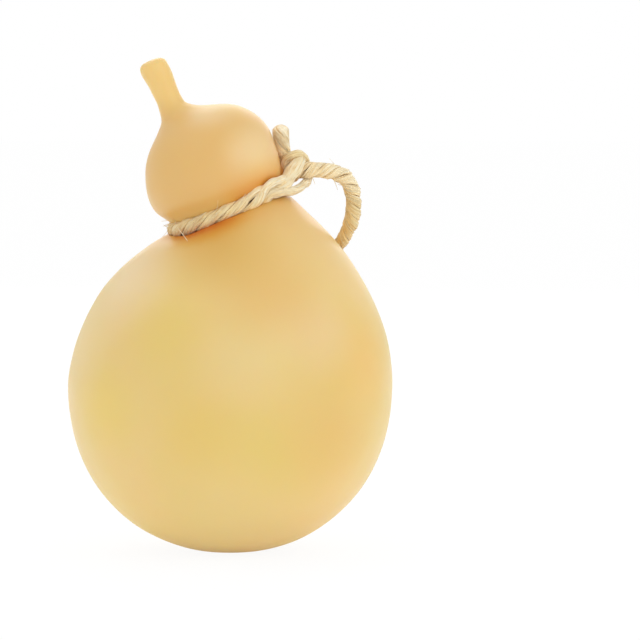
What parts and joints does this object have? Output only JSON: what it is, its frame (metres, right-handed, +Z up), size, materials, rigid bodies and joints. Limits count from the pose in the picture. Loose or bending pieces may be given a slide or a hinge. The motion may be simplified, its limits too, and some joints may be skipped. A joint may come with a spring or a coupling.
{
  "type": "truffle caciocavallo cheese",
  "caption": "Pear-shaped cheese with a small leaning head and a pinched stalk, tied round the neck with a laid sisal rope that ends in a knot and a hanging loop.",
  "frame": {"origin": "middle of the flat foot that the cheese stands on", "axes": "+Z up, -Y towards the viewer of the picture, and the head leans to -X, away from the knot"},
  "size_m": [0.13, 0.13, 0.1976],
  "materials": {
    "rind": "smooth waxy pale-gold rind, semi-matte",
    "sisal_rope": "dry pale-straw plant fibre, laid in strands"
  },
  "bodies": {
    "root": {"cheese": "rind", "rope_collar": "sisal_rope", "rope_knot": "sisal_rope", "rope_loop": "sisal_rope"}
  },
  "joints": []
}
